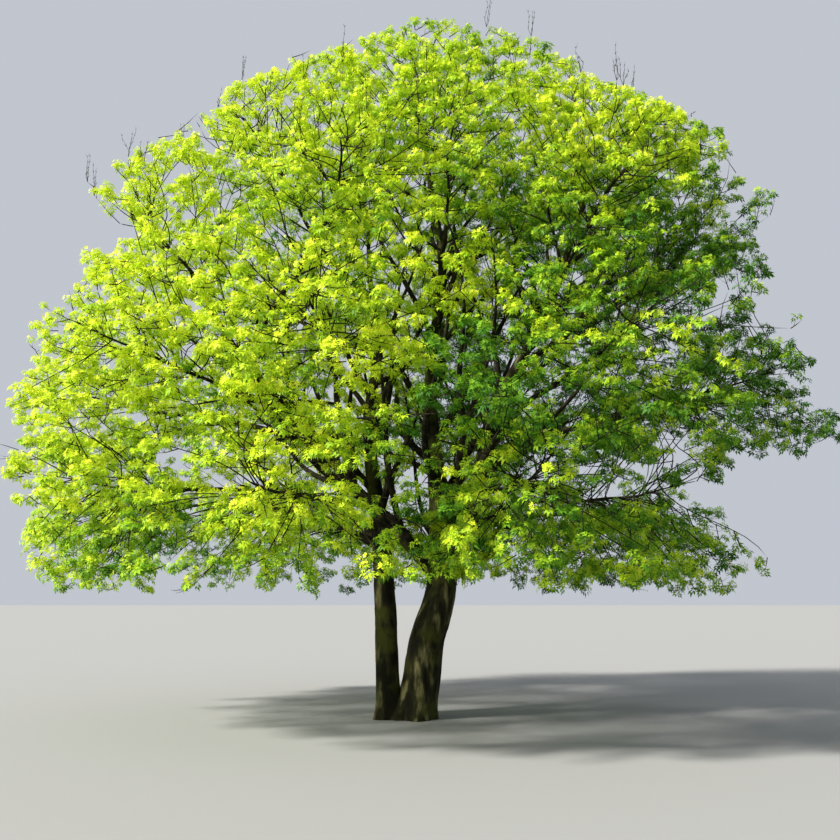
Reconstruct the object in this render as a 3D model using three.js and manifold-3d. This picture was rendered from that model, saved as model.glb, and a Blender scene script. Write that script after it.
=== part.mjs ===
// A broad maple in spring leaf, in millimetres, +Z up, with the origin in the flat cut under its
// trunk, at ground level. Three stems rise from one root: a thick trunk that leans right and
// forks low into three leaders, a slim upright stem on its left, and a slimmer one behind. The
// crown is a dome of foliage masses in tiers, and each mass is carried on a limb of its own.
import * as THREE from 'three';
import { mergeVertices } from 'three/addons/utils/BufferGeometryUtils.js';
import Module from 'manifold-3d';

const wasm = await Module();
wasm.setup();
const { Manifold, Mesh } = wasm;

// Gaps between neighbouring pieces
const SEAT_GAP = 0.3; // where one piece is seated on another
const LEAF_GAP = 12; // between foliage and the limbs that it passes
const SPACE_GAP = 40; // between the spaces of two masses

// Stems start this far under the flat cut that their feet get
const SUNK = 80;

// Root flare: how much wider the trunk's foot is, how high that reaches, and its ribs
const FLARE = { spread: 0.5, height: 230, ribs: 5, depth: 0.16, turn: 0.6 };

// Trunk, from its foot to the fork
const TRUNK = { lean: 8, top: [385, 10, 2120], radii: [262, 176], sides: 16, steps: 8 };

// The other stems and the leaders. Each starts at foot on the ground, or at a height on the
// trunk and beside its axis, leaves it at an azimuth and a pitch in degrees, and runs up into
// the mass that it leads to. hold says how long it keeps its first heading.
const LEADS = [
  { name: 'left_stem', foot: [-335, -25], azimuth: 180, pitch: 87.5, hold: 0.62,
    radii: [150, 36], sides: 9, steps: 9, into: 'top_3' },
  { name: 'back_stem', foot: [-120, 400], azimuth: 25, pitch: 75, hold: 0.4,
    radii: [112, 30], sides: 8, steps: 8, into: 'upper_2' },
  { name: 'leader_centre', height: 1720, beside: [-20, 25], azimuth: 120, pitch: 84, hold: 0.45,
    radii: [132, 36], sides: 8, steps: 8, into: 'tip_1' },
  { name: 'leader_right', height: 1720, beside: [70, -20], azimuth: 340, pitch: 72, hold: 0.5,
    radii: [126, 34], sides: 8, steps: 8, into: 'top_1' },
  { name: 'leader_left', height: 1720, beside: [-60, -60], azimuth: 205, pitch: 54, hold: 0.3,
    radii: [112, 34], sides: 8, steps: 8, into: 'upper_4' },
];

// Crown: the browse line under it, and the tiers of foliage masses from the skirt upwards.
// height and reach place the centres of a tier's masses, and their azimuths start at first, in
// degrees anticlockwise from +X. Their boughs leave a stem or leader at the height leaves, some
// a stagger higher, at the pitch rise, and come to the mass at the pitch arch.
const BROWSE_LINE = 1520;
const TIERS = [
  { name: 'skirt', count: 9, first: 8, height: 2560, reach: 3680, radius: 1470, breadth: 0,
    shift: -200, leaves: 1930, stagger: 190, rise: 32, arch: -14, girth: 52 },
  { name: 'shoulder', count: 8, first: 350, height: 4120, reach: 3720, radius: 1480, breadth: 0.03,
    shift: -90, leaves: 2900, stagger: 230, rise: 48, arch: 6, girth: 54 },
  { name: 'upper', count: 6, first: 10, height: 6000, reach: 2900, radius: 1540, breadth: 0.16,
    shift: 120, leaves: 4150, stagger: 260, rise: 58, arch: 34, girth: 46 },
  { name: 'top', count: 5, first: 342, height: 7480, reach: 1800, radius: 1440, breadth: 0.36,
    shift: 290, leaves: 5300, stagger: 240, rise: 70, arch: 55, girth: 36 },
  { name: 'tip', count: 1, first: 270, height: 8420, reach: 120, radius: 1320, breadth: 0,
    shift: -60, leaves: 6000, stagger: 0, rise: 80, arch: 85, girth: 36 },
];
const STAGGERS = 3; // heights among which a tier's boughs are shared out
const SCATTER = { azimuth: 10, height: 260, reach: 0.06, radius: 0.08 };
const FLATNESS = 0.9; // a mass is a little lower than it is wide

// Limbs: how long they hold their first and last headings, how far they sway from the curve
// between, in how many waves, and how full their taper is
const LIMB = { hold: 0.36, settle: 0.34, sway: 0.02, waves: [7, 8, 9], taper: 0.85 };

// A bough is at most a share as thick as what bears it, and ends an entry short of the centre
// of its mass, in radii. Leads enter at a pitch of their own.
const BOUGH = { tip: 24, sides: 5, steps: 4, share: 0.8 };
const ENTRY = 0.72;
const LEAD_PITCH = 70;

// Where the crown departs from round. A tier reaches further to the left and right than to the
// front and back by its breadth, and stands a shift to the right of the trunk's foot. The skirt
// is short on the right, and the top tier slopes down towards the front.
const RIGHT_NOTCH = 0.25;
const FRONT_SLOPE = { tier: 'top', fall: 0.32 };

// Shoots on the bark: a small mass low on the trunk, with smaller sprays
const SHOOTS = [
  { name: 'trunk_shoots', on: 'trunk', at: 1800, azimuth: 285, pitch: 30, reach: 520, radius: 560,
    spray: 330 },
];

// The stem of a mass is a little slimmer than its bough, and heads away from a point on the
// crown's axis, at a share of the mass's height
const STEM = { girth: 0.9, tip: 12, sides: 3, steps: 4, aim: 0.72 };

// Twigs stand in opposite pairs along that stem, each pair turned a quarter from the last, and a
// spray of leaves stands for what one real twig bears. Lengths are in lengths of a spray.
const TWIG = { pairs: 4, low: 0.14, high: 0.84, angle: 56, scatter: 16, twist: 0.7,
  radii: [16, 10], shortest: 0.34, vary: 0.15 };
const SPRAY = { length: 990, width: 0.96, thickness: 0.034, droop: 0.1, widest: 0.42, margin: 0.95 };
const SIDE_SPRAYS = { at: 0.42, angle: 62, least: 0.5 };

// Sprays face out and up. One that doesn't fit at full size is tried smaller and rolled.
const FACING = { out: 0.6, up: 0.85, vary: [1, 1, 0.3] };
const FITS = [[1, 0], [0.95, 30], [0.95, -30], [0.85, 60], [0.85, -60], [0.7, 0]];

const UP = new THREE.Vector3(0, 0, 1);
const QUARTER = Math.PI / 2;
const { degToRad, radToDeg, lerp } = THREE.MathUtils;
const vector = (x, y, z) => new THREE.Vector3(x, y, z);
const azimuthOf = (v) => radToDeg(Math.atan2(v.y, v.x));

// A repeatable stream of numbers from 0 to 1
function stream(seed) {
  let state = Math.imul(seed + 1, 2654435761) >>> 0;
  return () => {
    state = (Math.imul(state, 1664525) + 1013904223) >>> 0;
    return state / 2 ** 32;
  };
}

// A unit vector at an azimuth and a pitch above the horizon
function heading(azimuth, pitch) {
  const level = Math.cos(degToRad(pitch));
  return vector(
    level * Math.cos(degToRad(azimuth)),
    level * Math.sin(degToRad(azimuth)),
    Math.sin(degToRad(pitch)),
  );
}

// Solids

function toManifold(geometry) {
  geometry.deleteAttribute('normal');
  geometry.deleteAttribute('uv');
  const merged = mergeVertices(geometry, 1e-4);
  return new Manifold(new Mesh({
    numProp: 3,
    vertProperties: merged.attributes.position.array,
    triVerts: new Uint32Array(merged.index.array),
  }));
}

function geometryOf(points, faces) {
  const geometry = new THREE.BufferGeometry().setFromPoints(points);
  geometry.setIndex(faces.flat());
  return geometry;
}

function toMesh(solid, name, material) {
  const { vertProperties, triVerts } = solid.getMesh();
  const geometry = new THREE.BufferGeometry();
  geometry.setAttribute('position', new THREE.BufferAttribute(vertProperties, 3));
  geometry.setIndex(new THREE.BufferAttribute(triVerts, 1));
  const faceted = geometry.toNonIndexed();
  faceted.computeVertexNormals();
  const mesh = new THREE.Mesh(faceted, material);
  mesh.name = name;
  return mesh;
}

// What is left of a solid without its loose scraps
function largestPiece(solid) {
  return solid.decompose().reduce((a, b) => (b.volume() > a.volume() ? b : a));
}

// A closed tube round a limb's line, widened and lengthened by extra
function tube(line, extra = 0) {
  const { pointAt, headingAt, radiusAt, sides, steps } = line;
  const chord = pointAt(1).sub(pointAt(0)).normalize();
  const side = Math.abs(chord.z) > 0.97 ? vector(1, 0, 0) : chord.clone().cross(UP).normalize();
  const points = [];
  const faces = [];
  for (let i = 0; i <= steps; i += 1) {
    const t = i / steps;
    const ahead = headingAt(t);
    const across = side.clone().addScaledVector(ahead, -side.dot(ahead)).normalize();
    const over = ahead.clone().cross(across);
    const centre = pointAt(t).addScaledVector(ahead, extra * (Number(i === steps) - Number(i === 0)));
    for (let k = 0; k < sides; k += 1) {
      const angle = (2 * Math.PI * k) / sides;
      const radius = radiusAt(t, angle) + extra;
      points.push(centre.clone()
        .addScaledVector(across, radius * Math.cos(angle))
        .addScaledVector(over, radius * Math.sin(angle)));
      const here = i * sides + k;
      const next = i * sides + ((k + 1) % sides);
      if (i < steps) faces.push([here, next, next + sides], [here, next + sides, here + sides]);
    }
  }
  const last = steps * sides;
  for (let k = 2; k < sides; k += 1) {
    faces.push([0, k, k - 1], [last, last + k - 1, last + k]);
  }
  return toManifold(geometryOf(points, faces));
}

// The frame of a spray of leaves: it points along one direction and its upper side faces another
function sprayFrame(root, direction, facing, roll) {
  const across = direction.clone().cross(facing).normalize().applyAxisAngle(direction, roll);
  const over = across.clone().cross(direction);
  return (along, side, lift) => root.clone()
    .addScaledVector(direction, along)
    .addScaledVector(across, side)
    .addScaledVector(over, lift);
}

// A spray is a kite whose edges droop below its middle: right, tip, left, top and underside
function sprayCorners(place, length) {
  const { width, thickness, droop, widest } = SPRAY;
  return [[widest, width / 2, -droop], [1, 0, -droop], [widest, -width / 2, -droop],
    [widest, 0, thickness / 2], [widest, 0, -thickness / 2],
  ].map((corner) => place(...corner.map((share) => share * length)));
}

// A spray that comes to a point at its root, inside the twig that bears it
function spraySolid(root, corners) {
  const rim = [root, ...corners.slice(0, 3)];
  const faces = [0, 1, 2, 3].flatMap((k) => [[4, k, (k + 1) % 4], [5, (k + 1) % 4, k]]);
  return toManifold(geometryOf([...rim, corners[3], corners[4]], faces));
}

// A twig with three sides that widens into the spray at its tip
function sprigSolid(place, length, corners) {
  const ring = (along, radius) => [30, 150, 270].map(degToRad)
    .map((angle) => place(along, radius * Math.cos(angle), radius * Math.sin(angle)));
  const points = [...ring(-length, TWIG.radii[0]), ...ring(0, TWIG.radii[1]), ...corners];
  const shaft = [0, 1, 2].flatMap((k) => {
    const next = (k + 1) % 3;
    return [[k + 3, next + 3, next], [k + 3, next, k]];
  });
  const [neckRight, neckLeft, neckUnder, right, tip, left, top, under] = [3, 4, 5, 6, 7, 8, 9, 10];
  const blade = [
    [top, neckRight, right], [top, right, tip], [top, tip, left], [top, left, neckLeft],
    [top, neckLeft, neckRight], [right, neckRight, neckUnder], [neckLeft, left, neckUnder],
    [under, right, neckUnder], [under, tip, right], [under, left, tip], [under, neckUnder, left],
  ];
  return toManifold(geometryOf(points, [[0, 1, 2], ...shaft, ...blade]));
}

function meet(a, b) {
  const first = a.boundingBox();
  const second = b.boundingBox();
  const apart = [0, 1, 2].some((i) => first.min[i] > second.max[i] || second.min[i] > first.max[i]);
  return !apart && !a.intersect(b).isEmpty();
}

// Limbs

// A limb is a line that leaves its start on one heading and comes to its end on another, with
// a little sway between them and a taper along it
function limb({ name, start, end, from, to, radii, sides, steps, hold = LIMB.hold, seed }) {
  const span = start.distanceTo(end);
  const curve = new THREE.CubicBezierCurve3(
    start,
    start.clone().addScaledVector(from, span * hold),
    end.clone().addScaledVector(to, -span * LIMB.settle),
    end,
  );
  const random = stream(seed);
  const waves = LIMB.waves.map((count) => ({ count, phase: 2 * Math.PI * random() }));
  const pointAt = (t) => {
    const sway = LIMB.sway * span * Math.sin(Math.PI * t) ** 2;
    const [x, y, z] = waves.map(({ count, phase }) => sway * Math.sin(count * t + phase));
    return curve.getPoint(t).add(vector(x, y, z / 2));
  };
  const headingAt = (t) => {
    if (t === 0) return from.clone();
    if (t === 1) return to.clone();
    return pointAt(t + 0.01).sub(pointAt(t - 0.01)).normalize();
  };
  const radiusAt = (t) => lerp(radii[1], radii[0], (1 - t) ** LIMB.taper);
  return { name, pointAt, headingAt, radiusAt, sides, steps };
}

// How far along a limb it reaches a height, and the point there
function atHeight(line, height) {
  let low = 0;
  let high = 1;
  for (let i = 0; i < 30; i += 1) {
    const middle = (low + high) / 2;
    if (line.pointAt(middle).z < height) low = middle;
    else high = middle;
  }
  return { t: low, point: line.pointAt(low) };
}

// Ribs and flare at the trunk's foot, which die out as it rises
function trunkRadius(t, angle) {
  const flare = Math.exp((-t * TRUNK.top[2]) / FLARE.height);
  const ribs = 1 + FLARE.depth * flare * Math.cos(FLARE.ribs * angle + FLARE.turn);
  return lerp(TRUNK.radii[0], TRUNK.radii[1], t) * (1 + FLARE.spread * flare) * ribs;
}

function makeTrunk() {
  const axis = limb({
    ...TRUNK,
    name: 'trunk',
    start: vector(0, 0, -SUNK),
    end: vector(...TRUNK.top),
    from: heading(0, 90 - TRUNK.lean),
    to: heading(10, 90 - TRUNK.lean),
    seed: 1,
  });
  return { ...axis, radiusAt: trunkRadius };
}

// The point inside the near side of a mass where the limb that carries it ends
function entryOf(mass, from, pitch) {
  const toward = mass.centre.clone().sub(from).normalize();
  const inward = heading(azimuthOf(toward), pitch).add(toward).normalize();
  return { inward, end: mass.centre.clone().addScaledVector(inward, -mass.radius * ENTRY) };
}

function makeLead(lead, seed, trunk, masses) {
  const mass = masses.find(({ name }) => name === lead.into);
  const start = lead.foot
    ? vector(...lead.foot, -SUNK)
    : atHeight(trunk, lead.height).point.add(vector(...lead.beside, 0));
  const { end, inward } = entryOf(mass, start, LEAD_PITCH);
  const from = heading(lead.azimuth, lead.pitch);
  mass.carrier = limb({ ...lead, start, end, from, to: inward, seed });
  return mass.carrier;
}

// A bough leaves the stem or leader that stands nearest to its mass at the height where it starts
function makeBough(mass, seed, carriers) {
  const place = carriers
    .map((carrier) => ({ carrier, ...atHeight(carrier, mass.leaves) }))
    .filter(({ t }) => t > 0.02 && t < 0.9)
    .map((spot) => ({ ...spot, away: spot.point.clone().sub(mass.centre).setZ(0).length() }))
    .sort((a, b) => a.away - b.away)[0];
  const { end, inward } = entryOf(mass, place.point, mass.tier.arch);
  const girth = Math.min(mass.tier.girth, place.carrier.radiusAt(place.t, 0) * BOUGH.share);
  mass.carrier = limb({
    ...BOUGH,
    name: `bough_${mass.name}`,
    start: place.point,
    end,
    from: heading(azimuthOf(mass.centre.clone().sub(place.point)), mass.tier.rise),
    to: inward,
    radii: [girth, BOUGH.tip],
    seed,
  });
  return mass.carrier;
}

// Masses

// How far a tier reaches at an azimuth
function reachOf(tier, azimuth) {
  const across = Math.cos(degToRad(azimuth));
  const notch = tier.name === 'skirt' ? RIGHT_NOTCH * Math.max(0, across) ** 2 : 0;
  return tier.reach * (1 - notch + tier.breadth * across ** 2);
}

function placeMasses() {
  return TIERS.flatMap((tier, row) => {
    const random = stream(31 * row + 5);
    const spread = (range) => range * (random() - 0.5);
    return Array.from({ length: tier.count }, (_, i) => {
      const azimuth = tier.first + (360 * i) / tier.count + spread(SCATTER.azimuth);
      const centre = heading(azimuth, 0)
        .multiplyScalar(reachOf(tier, azimuth) * (1 + spread(SCATTER.reach)))
        .setZ(tier.height + spread(SCATTER.height));
      centre.x += tier.shift;
      if (tier.name === FRONT_SLOPE.tier) centre.z += FRONT_SLOPE.fall * Math.min(0, centre.y);
      return {
        name: `${tier.name}_${i + 1}`,
        tier,
        centre,
        radius: tier.radius * (1 + spread(SCATTER.radius)),
        leaves: tier.leaves + (i % STAGGERS) * tier.stagger,
        spray: SPRAY.length,
      };
    });
  });
}

// The mass of a cluster of shoots, which start inside the stem and are cut clear of its bark
function placeShoots(shoots, carriers) {
  const carrier = carriers.find(({ name }) => name === shoots.on);
  const { point } = atHeight(carrier, shoots.at);
  const onward = heading(shoots.azimuth, shoots.pitch);
  const centre = point.clone().addScaledVector(onward, shoots.reach);
  return { ...shoots, centre, root: point, onward, girth: BOUGH.tip, onBark: true };
}

// The space of a mass: a flattened ball, cut off at the browse line and half way to each
// neighbour
function spaceOf(mass, masses) {
  const walls = masses.filter((other) => other !== mass).map((other) => {
    const normal = other.centre.clone().sub(mass.centre);
    return { limit: (normal.length() - SPACE_GAP) / 2, normal: normal.normalize() };
  });
  const offset = vector(0, 0, 0);
  const holds = (point) => {
    offset.subVectors(point, mass.centre);
    if (point.z < BROWSE_LINE || walls.some((wall) => offset.dot(wall.normal) > wall.limit)) return false;
    offset.z /= FLATNESS;
    return offset.length() < mass.radius;
  };
  const reach = (from, direction) => {
    let low = 0;
    let high = 2 * mass.radius;
    for (let i = 0; i < 12; i += 1) {
      const middle = (low + high) / 2;
      if (holds(from.clone().addScaledVector(direction, middle))) low = middle;
      else high = middle;
    }
    return low;
  };
  return { holds, reach };
}

// The stem of a mass runs on from its limb and out to the crown's surface
function stemOf(mass, space, seed) {
  const out = mass.centre.clone().sub(vector(0, 0, mass.centre.z * STEM.aim)).normalize();
  const away = Math.max(0, space.reach(mass.centre, out) - mass.spray * SPRAY.margin);
  return limb({
    ...STEM,
    start: mass.root,
    end: mass.centre.clone().addScaledVector(out, away),
    from: mass.onward,
    to: out,
    radii: [mass.girth, STEM.tip],
    seed,
  });
}

// One twig: straight, from the stem to a spray's length short of the edge of the space
function twigOf(stem, t, turn, space, spray, random) {
  const from = stem.pointAt(t);
  const ahead = stem.headingAt(t);
  const level = ahead.clone().cross(UP).normalize().applyAxisAngle(ahead, turn);
  const lean = degToRad(TWIG.angle + TWIG.scatter * (random() - 0.5));
  const direction = ahead.clone().multiplyScalar(Math.cos(lean)).addScaledVector(level, Math.sin(lean));
  const room = space.reach(from, direction) - spray * SPRAY.margin;
  const length = Math.max(TWIG.shortest * spray, room * (1 - TWIG.vary * random()));
  return { from, direction, length, pointAt: (s) => from.clone().addScaledVector(direction, length * s) };
}

function twigsOf(stem, space, spray, random) {
  return Array.from({ length: TWIG.pairs }, (_, pair) => {
    const t = lerp(TWIG.low, TWIG.high, pair / (TWIG.pairs - 1));
    const turn = (pair % 2) * QUARTER + TWIG.twist * (random() - 0.5);
    return [turn, turn + Math.PI].map((angle) => twigOf(stem, t, angle, space, spray, random));
  }).flat();
}

// The way one spray faces, with a tilt of its own
function facingOf(mass, random) {
  const tilt = vector(...FACING.vary.map((range) => range * (random() - 0.5)));
  const out = mass.centre.clone().setZ(0).normalize();
  return tilt.addScaledVector(out, FACING.out).addScaledVector(UP, FACING.up).normalize();
}

// The heading of a spray beside a twig, level with it on its left or right
function besideTwig({ direction }, side) {
  const across = direction.clone().cross(UP).normalize();
  const slant = degToRad(SIDE_SPRAYS.angle);
  return direction.clone().multiplyScalar(Math.cos(slant)).addScaledVector(across, side * Math.sin(slant));
}

// One mass: its stem, its twigs and their sprays. What would leave the space, touch a limb or
// cross another spray is skipped.
function growMass(mass, masses, nearLimbs, seed) {
  const random = stream(seed);
  const space = spaceOf(mass, masses);
  const stem = stemOf(mass, space, seed);
  const solids = [tube(stem)];

  const fit = (root, direction, facing, host) => {
    for (const [size, roll] of FITS) {
      const place = sprayFrame(root, direction, facing, degToRad(roll));
      const corners = sprayCorners(place, mass.spray * size);
      const solid = spraySolid(root, corners);
      const clear = corners.every(space.holds) && !meet(solid, nearLimbs)
        && solids.every((other) => other === host || !meet(solid, other));
      if (clear) return { place, corners, solid };
    }
    return null;
  };

  const twigs = twigsOf(stem, space, mass.spray, random);
  const end = fit(stem.pointAt(0.995), stem.headingAt(1), facingOf(mass, random), solids[0]);
  if (end) solids.push(end.solid);
  const grown = twigs.filter((twig) => {
    const spray = fit(twig.pointAt(1), twig.direction, facingOf(mass, random), null);
    if (!spray) return false;
    twig.solid = sprigSolid(spray.place, twig.length, spray.corners);
    const clear = !meet(twig.solid, nearLimbs);
    if (clear) solids.push(twig.solid);
    return clear;
  });
  const long = grown.filter(({ length }) => length > SIDE_SPRAYS.least * mass.spray);
  [1, -1].forEach((side) => long.forEach((twig) => {
    const root = twig.pointAt(SIDE_SPRAYS.at);
    const spray = fit(root, besideTwig(twig, side), facingOf(mass, random), twig.solid);
    if (spray) solids.push(spray.solid);
  }));
  return Manifold.union(solids);
}

// The tree

const masses = placeMasses();
const trunk = makeTrunk();
const carriers = [trunk, ...LEADS.map((lead, i) => makeLead(lead, i + 2, trunk, masses))];
const boughs = masses.filter((mass) => !mass.carrier).map((mass, i) => makeBough(mass, i + 20, carriers));
const limbs = [...carriers, ...boughs];
masses.forEach((mass) => {
  mass.onward = mass.carrier.headingAt(1);
  mass.root = mass.carrier.pointAt(1).addScaledVector(mass.onward, SEAT_GAP);
  mass.girth = mass.carrier.radiusAt(1) * STEM.girth;
});
masses.push(...SHOOTS.map((shoots) => placeShoots(shoots, carriers)));

// Each limb is cut clear of the ones before it, so that it is seated on the stem it grows from
const below = toManifold(new THREE.BoxGeometry(2000, 2000, 1000).translate(0, 0, -500));
let grown = below;
const wood = limbs.map((line) => {
  const solid = largestPiece(tube(line).subtract(grown));
  grown = grown.add(tube(line, SEAT_GAP));
  return { name: line.name, solid };
});

const nearLimbs = limbs.map((line) => tube(line, LEAF_GAP)).reduce((a, b) => a.add(b));
const foliage = masses.map((mass, i) => {
  const solid = growMass(mass, masses, nearLimbs, 100 + i);
  return { name: `foliage_${mass.name}`, solid: largestPiece(mass.onBark ? solid.subtract(grown) : solid) };
});

// Colours
const oldBark = new THREE.MeshStandardMaterial({ color: 0x4a3d2c, roughness: 0.95, metalness: 0 });
const youngBark = new THREE.MeshStandardMaterial({ color: 0x54452f, roughness: 0.9, metalness: 0 });
const springLeaf = new THREE.MeshStandardMaterial({ color: 0x8fbf1a, roughness: 0.6, metalness: 0 });

const tree = new THREE.Group();
tree.name = 'maple_tree';
wood.forEach(({ name, solid }) => {
  tree.add(toMesh(solid, name, name.startsWith('bough') ? youngBark : oldBark));
});
foliage.forEach(({ name, solid }) => tree.add(toMesh(solid, name, springLeaf)));

export default tree;
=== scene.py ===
# A broad maple in spring leaf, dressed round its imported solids. Limbs get bark, and each foliage
# mass becomes the twigs, young leaves and blossom that grow on from its limb.
from math import atan2, cos, degrees, pi, radians, sin, sqrt
from types import SimpleNamespace as Values

import bpy
import numpy as np
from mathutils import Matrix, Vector


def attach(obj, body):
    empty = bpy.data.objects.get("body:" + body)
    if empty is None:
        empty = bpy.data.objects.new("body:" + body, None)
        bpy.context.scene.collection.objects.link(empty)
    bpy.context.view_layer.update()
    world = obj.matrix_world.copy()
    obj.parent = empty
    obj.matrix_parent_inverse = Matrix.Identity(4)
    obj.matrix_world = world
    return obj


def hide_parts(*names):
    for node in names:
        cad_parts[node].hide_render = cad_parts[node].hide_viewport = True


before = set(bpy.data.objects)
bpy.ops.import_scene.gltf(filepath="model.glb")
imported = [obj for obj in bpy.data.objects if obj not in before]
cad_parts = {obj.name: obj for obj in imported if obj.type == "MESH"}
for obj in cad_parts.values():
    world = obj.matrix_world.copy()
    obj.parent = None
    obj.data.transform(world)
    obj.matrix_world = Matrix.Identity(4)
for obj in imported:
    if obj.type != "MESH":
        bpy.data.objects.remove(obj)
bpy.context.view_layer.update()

MM = 0.001
TURN = 2 * pi
UP = np.array([0.0, 0.0, 1.0])
TINY = 1e-9  # added so that no direction has zero length
NUDGE = 0.01  # the step along a line that its heading is taken from
STREAM = Values(spread=2654435761, factor=1664525, step=1013904223, range=2**32)
SEEDS = Values(trunk=1, leads=2, boughs=20, bark=40, masses=100, tiers=5, tier_step=31,
               tufts=77, cells=9)


def table(columns, *rows):
    """Rows of values under the names of their columns."""
    return [Values(**dict(zip(columns.split(), row))) for row in rows]


# The source's own values, in millimetres and degrees
SUNK = 80
FLARE = Values(spread=0.5, height=230, ribs=5, depth=0.16, turn=0.6)
TRUNK = Values(lean=8, azimuths=(0, 10), top=(385, 10, 2120), radii=(262, 176))
STEMS = table(
    "name foot azimuth pitch hold radii into",
    ("left_stem", (-335, -25), 180, 87.5, 0.62, (150, 36), "top_3"),
    ("back_stem", (-120, 400), 25, 75, 0.4, (112, 30), "upper_2"))
FORK = 1720
LEADERS = table(
    "name beside azimuth pitch hold radii into",
    ("leader_centre", (-20, 25), 120, 84, 0.45, (132, 36), "tip_1"),
    ("leader_right", (70, -20), 340, 72, 0.5, (126, 34), "top_1"),
    ("leader_left", (-60, -60), 205, 54, 0.3, (112, 34), "upper_4"))
BROWSE_LINE = 1520
TIERS = table(
    "name count first height reach radius breadth shift leaves stagger rise arch girth",
    ("skirt", 9, 8, 2560, 3680, 1470, 0, -200, 1930, 190, 32, -14, 52),
    ("shoulder", 8, 350, 4120, 3720, 1480, 0.03, -90, 2900, 230, 48, 6, 54),
    ("upper", 6, 10, 6000, 2900, 1540, 0.16, 120, 4150, 260, 58, 34, 46),
    ("top", 5, 342, 7480, 1800, 1440, 0.36, 290, 5300, 240, 70, 55, 36),
    ("tip", 1, 270, 8420, 120, 1320, 0, -60, 6000, 0, 80, 85, 36))
STAGGERS = 3
SCATTER = {"azimuth": 10, "reach": 0.06, "height": 260, "radius": 0.08}
FLATNESS = 0.9
LIMB = Values(hold=0.36, settle=0.34, sway=0.02, waves=(7, 8, 9), swing=(1, 1, 0.5), taper=0.85)
BOUGH = Values(tip=24, share=0.8, borne=(0.02, 0.9))
ENTRY = 0.72
LEAD_PITCH = 70
RIGHT_NOTCH = 0.25
FRONT_SLOPE = Values(tier="top", fall=0.32)
SHOOTS = Values(name="trunk_shoots", at=1800, azimuth=285, pitch=30, reach=520, radius=560, spray=330)
STEM = Values(girth=0.9, aim=0.72, sunk=40, tip=9, rings=15, sides=7, end=0.97)
SPRAY = Values(length=990, margin=0.95, middle=0.6)
TWIG = Values(pairs=4, low=0.14, high=0.84, angle=56, scatter=16, twist=0.7, shortest=0.34, vary=0.15)

# Foliage may pass this far over the walls between two masses, and out of a mass's own ball
OVERLAP = 520
BULGE = 600

# The crown's outline: heights, and how far it reaches left and right there as the camera sees it,
# drawn on the upright plane through the trunk. The last column is its real reach to the front.
EYE = (13400, 1600)  # the camera's distance from that plane, and its height
OUTLINE = [(1500, 4590, 4100, 4250), (1800, 4900, 4260, 4350), (2100, 5120, 4100, 4450),
           (2400, 5300, 3850, 4500), (2750, 5560, 3800, 4650), (2950, 5650, 3900, 4870),
           (3100, 5680, 4400, 4900), (3250, 5560, 5450, 4950), (3800, 5380, 5560, 4950),
           (4100, 5330, 5230, 4800), (4400, 5080, 4980, 4700), (4700, 4780, 4900, 4550),
           (5300, 4800, 4600, 4150), (5800, 4650, 4550, 3900), (6100, 4150, 4550, 3800),
           (6400, 4120, 4800, 3650), (6800, 4330, 4850, 3400), (7100, 4350, 4800, 3150),
           (7400, 3950, 4420, 2850), (7700, 3450, 3950, 2550), (8000, 2950, 3750, 2200),
           (8300, 2550, 3000, 1800), (8600, 2250, 2450, 1500), (8900, 1680, 1950, 1200),
           (9150, 820, 1700, 900), (9350, 250, 950, 500), (9480, 0, 350, 200)]
DOME_SHARE = 0.96
# The outline's own unevenness: waves in three directions, each a length in millimetres and a phase
RUFFLE = Values(depth=0.032, waves=(((1, 0.3, 0.2), 150, 0.4), ((-0.4, 1, 0.3), 170, 2.1),
                                    ((0.5, -0.6, 1), 130, 4.0)))
# How many steps the searches for an end take, and how fast the crown's reach is let out
SEARCH = Values(height=30, crown=8, space=12, growth=1.3)


# The source's rule, written again

def stream(seed):
    """A repeatable stream of numbers from 0 to 1."""
    state = ((seed + 1) * STREAM.spread) % STREAM.range

    def draw():
        nonlocal state
        state = (state * STREAM.factor + STREAM.step) % STREAM.range
        return state / STREAM.range

    return draw


def unit(v):
    return v / np.linalg.norm(v, axis=-1, keepdims=True)


def from_to(ends, share):
    """The number that stands a share of the way between two ends."""
    first, last = ends
    return first + (last - first) * share


def smoothstep(x):
    x = np.clip(x, 0, 1)
    return x * x * (3 - 2 * x)


def jitter(random, most, count=None):
    """One number or many, from -most to most."""
    return random.uniform(-most, most, count)


def heading(azimuth, pitch):
    azimuth, pitch = radians(azimuth), radians(pitch)
    return np.array([cos(pitch) * cos(azimuth), cos(pitch) * sin(azimuth), sin(pitch)])


def azimuth_of(v):
    return degrees(atan2(v[1], v[0]))


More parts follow.
